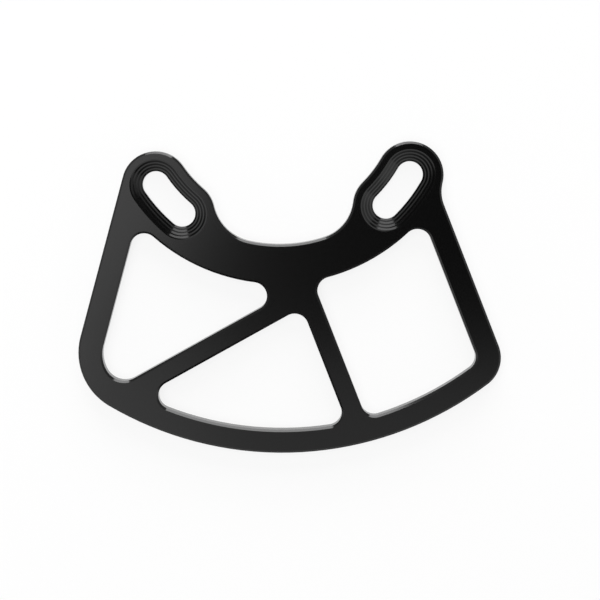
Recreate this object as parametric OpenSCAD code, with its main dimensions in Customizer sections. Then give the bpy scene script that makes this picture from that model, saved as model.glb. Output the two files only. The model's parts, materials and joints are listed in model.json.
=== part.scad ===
// Chain guide plate for a crank with the chain-guide bolt pattern round its bottom-bracket shell.
// One flat plate, milled from aluminium sheet. Sizes are in millimetres.
// Plan places are measured from the bottom-bracket axis, with +Y up the bicycle.
// The finished plate is then moved so that it lies on its back, centred over the origin.

/* [Plate] */
// Thickness of the plate
thickness = 4; // [3.5:0.1:6]
// Width of the 45 degree bevel on every edge, front and back
bevel = 0.5; // [0.2:0.1:0.8]

/* [Bolt slots] */
// Radius of the bolt circle about the bottom-bracket axis
bolt_r = 36.5; // [36:0.1:37.5]
// Width of each slot, a clearance fit on an M6 bolt
slot_w = 6.5; // [6.2:0.1:6.8]
// Angle that a bolt can travel along its slot
slot_sweep_angle = 14.9; // [12:0.1:17]
// Fall of the right slot's upper end below the horizontal
right_slot_angle = 29.9; // [28:0.1:32]
// Fall of the left slot's upper end below the horizontal
left_slot_angle = 34.4; // [33:0.1:36]
// Diameter of the countersink at the front face
sink_d = 12.5; // [11:0.1:13]
// Number of cutter passes that step down the countersink
sink_rings = 4; // [3:1:7]
// Depth of the scallop that each pass leaves
ring_depth = 0.1; // [0.02:0.01:0.12]
// Radius of the plate round each slot's centre line
boss_r = 8.1; // [7.6:0.1:8.6]

/* [Hub] */
// Radius of the opening round the bottom-bracket shell
hub_r = 35.1; // [34.2:0.1:36]
// Radius of the lower edge of the hub band
band_r = 46; // [45:0.25:48]
// Sideways shift of that edge's centre from the axis
band_x = -0.3; // [-1:0.05:1]
// Upward shift of that edge's centre from the axis
band_y = 1.35; // [0:0.05:2]
// Fillet from the hub opening to the right boss
right_hub_fillet = 10.3; // [9:0.1:11]
// Fillet from the hub opening to the left boss
left_hub_fillet = 11.3; // [10:0.1:12]

/* [Outline] */
// Radius of the rim's outer edge
rim_r = 82.9; // [81:0.1:85]
// Sideways shift of the rim's centre from the axis
rim_x = 0.6; // [-1:0.05:2]
// Downward shift of the rim's centre from the axis
rim_drop = 3; // [2:0.1:4]
// Lean of the left edge from the horizontal
left_edge_angle = 75; // [73:0.5:77]
// Lean of the right edge from the horizontal
right_edge_angle = 68.7; // [67:0.1:71]
// Distance of the right edge from the axis
right_edge = 27.9; // [27:0.1:29]
// Fillet from the right edge to the right boss
right_edge_fillet = 9; // [7:0.1:11]
// Radius of the lower left corner
left_corner_r = 15.1; // [13:0.1:17]
// Radius of the lower right corner
right_corner_r = 8.1; // [7:0.1:10]

/* [Windows] */
// Width of the side bars
bar_w = 5.95; // [5:0.05:7]
// Width of the rim
rim_w = 5.65; // [5:0.05:6.5]
// Width of the spokes
spoke_w = 4.8; // [3.8:0.1:5.5]
// Radius of the windows' corners
window_r = 3.4; // [2.6:0.1:3.6]
// Radius of the left window's lower corner where it leaves the side bar
inner_corner_r = 8.3; // [7.8:0.1:8.8]
// Radius of the same corner where it meets the left spoke
low_corner_r = 4.9; // [3.8:0.1:5.5]
// How far that corner's centre lies down the bar from the plate's own corner
corner_drop = 0.6; // [0:0.1:1]
// Lean of the right spoke from the horizontal
right_spoke_angle = 68.7; // [67:0.1:70]
// Distance of the right spoke's middle from the axis
right_spoke = 10.9; // [10.5:0.1:11.5]
// Rise of the left spoke from the horizontal
left_spoke_angle = 29.1; // [27:0.1:31]
// Distance of the left spoke's middle from the axis
left_spoke = 44.3; // [43.5:0.1:45]

/* [Hidden] */
$fn = 96;

// Degrees in a circle
full_turn = 360;
// Curved faces that meet smoothly overlap by this much, so that they cross at a clean edge
lap = 0.005;
// Run of a round bevel for each unit of its rise, just over that of a straight bevel for the same reason
round_run = 1.001;
// Straight bevels are narrower than round ones by this much, so that four faces never share one point
bevel_step = 0.001;
// How far a cutting shape stands clear of the faces that it cuts
clear = 0.5;
// Raw shapes that are joined end this far apart above and below the plate, where they are cut flat
step = 0.08;
// Reach of a half-plane to each side, longer than the plate
reach = 150;
// How far a raw shape runs past the edge that trims it
margin = 4;
// How far the body's own right edge runs up past the fillet's lower end
edge_run = 1;
// Reach of a corner's cutter for each unit of its radius, past the sharp corner that it rounds
corner_span = 4;

function unit(a) = [cos(a), sin(a)];
function heading(v) = atan2(v.y, v.x);

// Turn from one heading to another, the short way round
function nearest_turn(from, to) = (to - from + 2.5 * full_turn) % full_turn - full_turn / 2;

// A straight edge is [heading of its outward normal, distance from the axis].
// Centre of a circle that lies inset from a straight edge and far from the point c
function line_and_circle(edge, inset, c, far, side) =
    let (
        n = unit(edge[0]),
        along = unit(edge[0] + 90),
        q = n * (edge[1] - inset) - c,
        b = q * along
    )
    c + q + along * (side * sqrt(b * b - q * q + far * far) - b);

// Centre of a circle that lies inset from two straight edges
function two_lines(edge1, edge2, inset) =
    let (
        n1 = unit(edge1[0]),
        n2 = unit(edge2[0]),
        d1 = edge1[1] - inset,
        d2 = edge2[1] - inset,
        det = n1.x * n2.y - n1.y * n2.x
    )
    [d1 * n2.y - d2 * n1.y, d2 * n1.x - d1 * n2.x] / det;

// Point at far1 from c1 and far2 from c2, to the left of c1 to c2 where side is 1
function two_circles(c1, far1, c2, far2, side) =
    let (
        v = c2 - c1,
        d = norm(v),
        a = (d * d + far1 * far1 - far2 * far2) / (2 * d),
        h = sqrt(far1 * far1 - a * a)
    )
    c1 + a * v / d + side * h * [-v.y, v.x] / d;

flat_bevel = bevel - bevel_step;

axis = [0, 0];
right_top = bolt_r * unit(-right_slot_angle);
right_low = bolt_r * unit(-right_slot_angle - slot_sweep_angle);
left_top = bolt_r * unit(180 + left_slot_angle);
left_low = bolt_r * unit(180 + left_slot_angle + slot_sweep_angle);

// Outer straight edges
right_side = [90 - right_edge_angle, right_edge];
left_normal = 90 + left_edge_angle;
left_side = [left_normal, left_top * unit(left_normal) + boss_r - lap];

// Outer corners and fillets
rim_c = [rim_x, -rim_drop];
left_corner = line_and_circle(left_side, left_corner_r, rim_c, rim_r - left_corner_r, 1);
right_corner = line_and_circle(right_side, right_corner_r, rim_c, rim_r - right_corner_r, -1);
side_fillet = line_and_circle(right_side, -right_edge_fillet, right_top, boss_r + right_edge_fillet, -1);
right_fillet = two_circles(axis, hub_r - right_hub_fillet, right_low, boss_r + right_hub_fillet, -1);
left_fillet = two_circles(axis, hub_r - left_hub_fillet, left_low, boss_r + left_hub_fillet, 1);

// Where the body's own right edge starts, measured at the fillet's centre
edge_start = side_fillet + edge_run * unit(right_side[0] + 90);

// Window edges, each with its outward normal pointing out of the window
band_c = [band_x, band_y];
rim_inner_r = rim_r - rim_w;
right_bar = [right_side[0], right_side[1] - bar_w];
left_bar = [left_side[0], left_side[1] - bar_w];
spoke_right = [270 - right_spoke_angle, right_spoke - spoke_w / 2];
spoke_left = [90 - right_spoke_angle, -right_spoke - spoke_w / 2];
spoke_above = [left_spoke_angle - 90, left_spoke - spoke_w / 2];
spoke_below = [left_spoke_angle + 90, -left_spoke - spoke_w / 2];
inner_corner = left_corner
    + (left_corner_r - bar_w - inner_corner_r) * unit(left_normal)
    + corner_drop * unit(left_normal + 90);
low_corner = line_and_circle(spoke_above, low_corner_r, inner_corner, inner_corner_r - low_corner_r, -1);
far_rim = rim_inner_r - window_r;
far_band = band_r + window_r;

// Depth of the countersink, whose sides slope at 45 degrees
sink_depth = (sink_d - slot_w) / 2;
ring_step = sink_depth / sink_rings;
ring_bite = ring_depth * sin(45);

// Box of the whole plate, which sets the origin
plate_x = (left_corner.x - left_corner_r + right_corner.x + right_corner_r) / 2;
plate_y = (right_top.y + boss_r + rim_c.y - rim_r) / 2;

// Run of a round bevel that carries on past the plate's face by over
function run(over) = round_run * (bevel + over);

// Material with both edges bevelled: a disc, taller than the plate by over at each face
module disc(c, r, over)
    translate(c)
        rotate_extrude()
            polygon([
                [0, -over], [r - run(over), -over], [r, bevel],
                [r, thickness - bevel], [r - run(over), thickness + over], [0, thickness + over]
            ]);

// Material with both edges bevelled: all that lies inside a straight edge
module inside(edge, over)
    rotate(edge[0])
        translate([edge[1], reach, 0])
            rotate([90, 0, 0])
                linear_extrude(2 * reach)
                    polygon([
                        [0, flat_bevel], [0, thickness - flat_bevel], [-flat_bevel - over, thickness + over],
                        [-reach, thickness + over], [-reach, -over], [-flat_bevel - over, -over]
                    ]);

// Cutter that leaves bevelled edges: a round hole
module hole(c, r, over)
    translate(c)
        rotate_extrude()
            polygon([
                [0, -over], [r + run(over), -over], [r, bevel],
                [r, thickness - bevel], [r + run(over), thickness + over], [0, thickness + over]
            ]);

// Cutter that leaves bevelled edges: all that lies inside a straight edge
module opening(edge, over)
    rotate(edge[0])
        translate([edge[1], reach, 0])
            rotate([90, 0, 0])
                linear_extrude(2 * reach)
                    polygon([
                        [0, flat_bevel], [0, thickness - flat_bevel], [flat_bevel + over, thickness + over],
                        [-reach, thickness + over], [-reach, -over], [flat_bevel + over, -over]
                    ]);

// What to take off a sharp corner of the plate to round it, between the headings a1 and a2
module round_outer(c, r, a1, a2)
    translate(c)
        rotate_extrude(angle = a2 - a1, start = a1)
            polygon([
                [r + lap, bevel], [r + lap - run(clear), -clear], [corner_span * r, -clear],
                [corner_span * r, thickness + clear], [r + lap - run(clear), thickness + clear],
                [r + lap, thickness - bevel]
            ]);

// What to take off a sharp corner of a window's cutter to round it, between the headings a1 and a2
module round_window(c, r, a1, a2)
    translate(c)
        rotate_extrude(angle = a2 - a1, start = a1)
            polygon([
                [r + lap, bevel], [r + lap + run(2 * clear), -2 * clear],
                [corner_span * r, -2 * clear], [corner_span * r, thickness + 2 * clear],
                [r + lap + run(2 * clear), thickness + 2 * clear], [r + lap, thickness - bevel]
            ]);

// Material between two edges that a fillet joins, from a polygon with its sharp side under the fillet
module fillet(c, r, points)
    difference() {
        translate([0, 0, -2 * step])
            linear_extrude(thickness + 4 * step)
                polygon(points);
        hole(c, r + lap, clear);
    }

// Material round one slot
module boss(top, low)
    union() {
        disc(top, boss_r, 5 * step);
        disc(low, boss_r, 4 * step);
        arc_sweep(top, low)
            translate([bolt_r, 0])
                boss_section(boss_r - lap, 3 * step);
    }

// Sweeps a section about the bottom-bracket axis from one slot end to the other
module arc_sweep(top, low)
    let (from = min(heading(top), heading(low)))
        rotate_extrude(angle = slot_sweep_angle, start = from)
            children();

module boss_section(r, over)
    polygon([
        [-r, bevel], [-r, thickness - bevel], [run(over) - r, thickness + over],
        [r - run(over), thickness + over], [r, thickness - bevel], [r, bevel],
        [r - run(over), -over], [run(over) - r, -over]
    ]);

// Body of the plate with the side bars and rim, before the windows
module body()
    difference() {
        intersection() {
            translate([0, 0, -step])
                linear_extrude(thickness + 2 * step)
                    polygon([
                        left_top + (boss_r + margin) * unit(left_normal),
                        left_top,
                        left_low,
                        right_low,
                        right_top,
                        edge_start - right_edge_fillet * unit(right_side[0]),
                        edge_start + margin * unit(right_side[0]),
                        [reach / 2, -reach / 2],
                        [reach / 2, -reach],
                        [-reach / 2, -reach],
                        [-reach / 2, -reach / 2]
                    ]);
            disc(rim_c, rim_r, clear);
            inside(left_side, clear);
            inside(right_side, clear);
        }
        hole(axis, hub_r, clear);
        round_outer(left_corner, left_corner_r, left_normal, full_turn + heading(left_corner - rim_c));
        round_outer(right_corner, right_corner_r, heading(right_corner - rim_c), right_side[0]);
    }

// Fillets that carry the bosses into the hub opening and the right edge
module fillets() {
    fillet(side_fillet, right_edge_fillet, [
        right_top,
        right_top + boss_r * unit(heading(side_fillet - right_top)),
        side_fillet - right_edge_fillet * unit(right_side[0]),
        side_fillet - (right_edge_fillet + margin) * unit(right_side[0])
    ]);
    fillet(right_fillet, right_hub_fillet, [
        right_low,
        right_low + boss_r * unit(heading(right_fillet - right_low)),
        hub_r * unit(heading(right_fillet)),
        (hub_r + margin) * unit(heading(right_fillet))
    ]);
    fillet(left_fillet, left_hub_fillet, [
        left_low,
        left_low + boss_r * unit(heading(left_fillet - left_low)),
        hub_r * unit(heading(left_fillet)),
        (hub_r + margin) * unit(heading(left_fillet))
    ]);
}

// Half of a slot's section, from the back face up: a plain wall, then one scallop for each cutter pass
function slot_side(over) = [
    [slot_w / 2, -over],
    [slot_w / 2, thickness - sink_depth],
    for (i = [0 : sink_rings - 1])
        each [
            [
                slot_w / 2 + (i + 0.5) * ring_step + ring_bite,
                thickness - sink_depth + (i + 0.5) * ring_step - ring_bite
            ],
            [slot_w / 2 + (i + 1) * ring_step, thickness - sink_depth + (i + 1) * ring_step]
        ],
    [sink_d / 2 + over, thickness + over]
];

// Cutter for one countersunk slot
module slot(top, low) {
    for (end = [top, low])
        translate(end)
            rotate_extrude()
                polygon([
                    [0, step - clear], each slot_side(clear - step), [0, thickness + clear - step]
                ]);
    arc_sweep(top, low)
        translate([bolt_r, 0])
            polygon([
                for (p = slot_side(clear)) [p.x - lap, p.y],
                for (p = reverse(slot_side(clear))) [lap - p.x, p.y]
            ]);
}

function reverse(list) = [for (i = [len(list) - 1 : -1 : 0]) list[i]];

// Rounds a window's corner between a straight edge and the hub band's edge
module band_corner(edge, side)
    let (
        c = line_and_circle(edge, window_r, band_c, far_band, side),
        up = heading(band_c - c),
        turn = nearest_turn(up, edge[0])
    )
        round_window(c, window_r, min(up, up + turn), max(up, up + turn));

// Rounds a window's corner between a straight edge and the rim
module rim_corner(edge, side)
    let (
        c = line_and_circle(edge, window_r, rim_c, far_rim, side),
        down = heading(c - rim_c),
        turn = nearest_turn(down, edge[0])
    )
        round_window(c, window_r, min(down, down + turn), max(down, down + turn));

// Window to the right of both spokes
module right_window()
    difference() {
        intersection() {
            opening(right_bar, clear);
            opening(spoke_right, clear);
            hole(rim_c, rim_inner_r, clear);
        }
        disc(band_c, band_r, 2 * clear);
        band_corner(right_bar, -1);
        band_corner(spoke_right, 1);
        rim_corner(right_bar, -1);
        rim_corner(spoke_right, 1);
    }

// Window between the spokes and the rim
module bottom_window()
    difference() {
        intersection() {
            opening(spoke_left, clear);
            opening(spoke_below, clear);
            hole(rim_c, rim_inner_r, clear);
        }
        round_window(two_lines(spoke_left, spoke_below, window_r), window_r, spoke_left[0], spoke_below[0]);
        rim_corner(spoke_below, 1);
        rim_corner(spoke_left, -1);
    }

// Window to the left of the left spoke, with two arcs round its lower corner
module left_window()
    difference() {
        intersection() {
            opening(left_bar, clear);
            opening(spoke_above, clear);
            opening(spoke_left, clear);
        }
        disc(band_c, band_r, 2 * clear);
        band_corner(left_bar, 1);
        band_corner(spoke_above, -1);
        round_window(inner_corner, inner_corner_r, left_bar[0], full_turn + spoke_above[0]);
        round_window(
            low_corner, low_corner_r,
            full_turn + heading(low_corner - inner_corner), full_turn + spoke_above[0]
        );
    }

// The whole plate, back face down
module guide_plate()
    color("#2b2c2e")
        translate([-plate_x, -plate_y, 0])
            difference() {
                intersection() {
                    union() {
                        body();
                        boss(right_top, right_low);
                        boss(left_top, left_low);
                        fillets();
                    }
                    translate([-reach, -reach, 0])
                        cube([2 * reach, 2 * reach, thickness]);
                }
                right_window();
                bottom_window();
                left_window();
                slot(right_top, right_low);
                slot(left_top, left_low);
            }

guide_plate();
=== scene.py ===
"""Looks, light and camera for a black anodised chain guide plate that lies on its back."""

import json
import math

import bpy
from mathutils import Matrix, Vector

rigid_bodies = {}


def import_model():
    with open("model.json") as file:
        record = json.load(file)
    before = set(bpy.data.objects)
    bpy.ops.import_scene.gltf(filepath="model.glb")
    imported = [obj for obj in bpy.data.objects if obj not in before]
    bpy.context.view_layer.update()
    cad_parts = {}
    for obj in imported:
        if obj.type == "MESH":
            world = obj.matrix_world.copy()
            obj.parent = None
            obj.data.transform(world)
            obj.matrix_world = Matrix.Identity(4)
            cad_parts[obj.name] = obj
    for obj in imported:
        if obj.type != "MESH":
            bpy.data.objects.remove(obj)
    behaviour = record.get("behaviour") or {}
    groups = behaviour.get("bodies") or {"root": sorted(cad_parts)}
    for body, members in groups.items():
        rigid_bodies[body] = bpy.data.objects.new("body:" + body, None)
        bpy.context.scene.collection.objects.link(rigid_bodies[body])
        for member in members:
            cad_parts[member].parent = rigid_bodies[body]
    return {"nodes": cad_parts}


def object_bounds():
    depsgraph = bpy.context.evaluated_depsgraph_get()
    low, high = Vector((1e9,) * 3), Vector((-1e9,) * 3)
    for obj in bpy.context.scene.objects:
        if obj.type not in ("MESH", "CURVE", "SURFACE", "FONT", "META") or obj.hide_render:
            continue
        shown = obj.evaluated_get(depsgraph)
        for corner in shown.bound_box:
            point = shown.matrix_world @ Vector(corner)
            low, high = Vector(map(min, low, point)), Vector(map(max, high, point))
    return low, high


MM = 0.001

# Finish of the plate, which is a single milled piece: black dye under a clear oxide skin
DYE_GREY = 0.002
COAT_ROUGHNESS = 0.15
COAT_IOR = 1.32

# Camera: the eye stands above the plate's upper half and looks down
EYE_OVER_FACE = 468 * MM
EYE_X = 2.51 * MM
EYE_Y = 45 * MM
VIEW_TILT = math.radians(2.01)
VIEW_SHIFT_Y = -0.20
LENS_MM = 116.1
SENSOR_MM = 36

# White paper floor, just under the plate's back
FLOOR_SIZE = 8.0
FLOOR_GAP = 0.05 * MM
FLOOR_WHITE = 0.95
FLOOR_GLOW_SHARE = 0.85

# Sky over the studio: bright round the horizon, most so in front, and dark overhead
SKY_FRONT = 1.8
SKY_BACK = 0.8
SKY_TURN = 0.35
SKY_ZENITH = 0.01
SKY_LOW = 0.15
SKY_HIGH = 0.45

# Soft panels: centre in metres, size in metres, turn in degrees, and how bright each face looks.
# The face of the plate mirrors the first three. They hang at unlike heights, because lamps that
# overlap in one plane hide each other in a reflection. The rest light the bevels and countersinks.
PANELS = {
    "left_panel": ((-0.276, 0.210, 1.0), (0.60, 1.0), (0, 0, -37.3), 2.35),
    "left_fill": ((-0.316, -0.10, 1.01), (0.50, 1.0), (0, 0, 0), 0.76),
    "front_panel": ((0.0, -0.370, 1.02), (1.2, 0.45), (0, 0, 0), 1.22),
    "back_panel": ((0.05, 1.2, 0.2), (1.1, 0.4), (-90, 0, 0), 10.0),
    "right_panel": ((1.2, 0.1, 0.55), (2.0, 0.3), (-90, 0, -90), 1.0),
    "upper_back_panel": ((0.05, 1.2, 0.725), (1.1, 0.65), (-90, 0, 0), 5.0),
}


def clear_scene():
    """Takes out what a new scene starts with."""
    for obj in list(bpy.data.objects):
        bpy.data.objects.remove(obj)


def node(tree, kind, **inputs):
    """Adds a shader node and sets some of its inputs."""
    made = tree.nodes.new(kind)
    for name, value in inputs.items():
        made.inputs[name.replace("_", " ")].default_value = value
    return made


def grey(value):
    return (value, value, value, 1.0)


def feed(tree, socket, value):
    """Sets an input to a number, or links another node's output to it."""
    if isinstance(value, float):
        socket.default_value = value
    else:
        tree.links.new(value, socket)


def add_math(tree, operation, first, second):
    """Adds a maths node with two inputs."""
    made = node(tree, "ShaderNodeMath")
    made.operation = operation
    feed(tree, made.inputs[0], first)
    feed(tree, made.inputs[1], second)
    return made.outputs[0]


def add_range(tree, source, low, high, start, end):
    """Adds a smooth ramp of a value between two limits."""
    ramp = node(tree, "ShaderNodeMapRange", From_Min=low, From_Max=high)
    ramp.interpolation_type = "SMOOTHSTEP"
    feed(tree, ramp.inputs["Value"], source)
    feed(tree, ramp.inputs["To Min"], start)
    feed(tree, ramp.inputs["To Max"], end)
    return ramp.outputs[0]


def anodised_material():
    """Black anodised aluminium, whose clear skin mirrors the studio softly."""
    material = bpy.data.materials.new("black_anodised")
    material.use_nodes = True
    tree = material.node_tree
    shader = tree.nodes["Principled BSDF"]
    shader.inputs["Base Color"].default_value = grey(DYE_GREY)
    shader.inputs["Roughness"].default_value = COAT_ROUGHNESS
    shader.inputs["IOR"].default_value = COAT_IOR
    return material


def floor_material():
    """White paper that keeps a soft shadow and shows as white to the camera and in reflections."""
    material = bpy.data.materials.new("floor_white")
    material.use_nodes = True
    tree = material.node_tree
    tree.nodes.clear()
    paper = node(tree, "ShaderNodeBsdfDiffuse", Color=grey(FLOOR_WHITE))
    glow = node(tree, "ShaderNodeEmission", Color=grey(1.0), Strength=1.0)
    rays = node(tree, "ShaderNodeLightPath").outputs
    seen = add_math(tree, "MAXIMUM", rays["Is Camera Ray"], rays["Is Glossy Ray"])
    seen = add_math(tree, "MAXIMUM", seen, rays["Is Transmission Ray"])
    mix = node(tree, "ShaderNodeMixShader")
    output = node(tree, "ShaderNodeOutputMaterial")
    tree.links.new(add_math(tree, "MULTIPLY", seen, FLOOR_GLOW_SHARE), mix.inputs["Fac"])
    tree.links.new(paper.outputs[0], mix.inputs[1])
    tree.links.new(glow.outputs[0], mix.inputs[2])
    tree.links.new(mix.outputs[0], output.inputs["Surface"])
    return material


def add_floor():
    """Lays the floor just under the plate."""
    bpy.ops.mesh.primitive_plane_add(size=FLOOR_SIZE, location=(0, 0, -FLOOR_GAP))
    floor = bpy.context.object
    floor.name = "floor"
    floor.data.materials.append(floor_material())


def add_sky():
    """Lights the world from its horizon, and least from straight above."""
    world = bpy.data.worlds.new("studio")
    bpy.context.scene.world = world
    world.use_nodes = True
    tree = world.node_tree
    background = tree.nodes["Background"]
    background.inputs["Color"].default_value = grey(1.0)
    direction = node(tree, "ShaderNodeTexCoord")
    split = node(tree, "ShaderNodeSeparateXYZ")
    tree.links.new(direction.outputs["Generated"], split.inputs[0])
    horizon = add_range(tree, split.outputs["Y"], -SKY_TURN, SKY_TURN, SKY_FRONT, SKY_BACK)
    sky = add_range(tree, split.outputs["Z"], SKY_LOW, SKY_HIGH, horizon, SKY_ZENITH)
    tree.links.new(sky, background.inputs["Strength"])


def add_panel(name, centre, size, turn, radiance):
    """Hangs a soft rectangular panel, whose power follows from how bright its face looks."""
    light = bpy.data.lights.new(name, "AREA")
    light.shape = "RECTANGLE"
    light.size, light.size_y = size
    light.energy = radiance * math.pi * size[0] * size[1]
    lamp = bpy.data.objects.new(name, light)
    lamp.location = centre
    lamp.rotation_euler = [math.radians(angle) for angle in turn]
    bpy.context.scene.collection.objects.link(lamp)


def add_lights():
    """Hangs all the soft panels."""
    for name, panel in PANELS.items():
        add_panel(name, *panel)


def add_camera(face_z):
    """Stands the camera over the plate's face, at the photograph's angle."""
    camera = bpy.data.cameras.new("camera")
    camera.lens = LENS_MM
    camera.sensor_width = SENSOR_MM
    camera.shift_y = VIEW_SHIFT_Y
    eye = bpy.data.objects.new("camera", camera)
    bpy.context.scene.collection.objects.link(eye)
    eye.location = (EYE_X, EYE_Y, face_z + EYE_OVER_FACE)
    eye.rotation_euler = (-VIEW_TILT, 0, 0)
    bpy.context.scene.camera = eye


clear_scene()
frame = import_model()
cad_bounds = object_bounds()

plate = frame["nodes"]["guide_plate"]
plate.data.materials[0] = anodised_material()
add_floor()
add_sky()
add_lights()
add_camera(cad_bounds[1].z)
bpy.context.scene.view_settings.view_transform = "Standard"
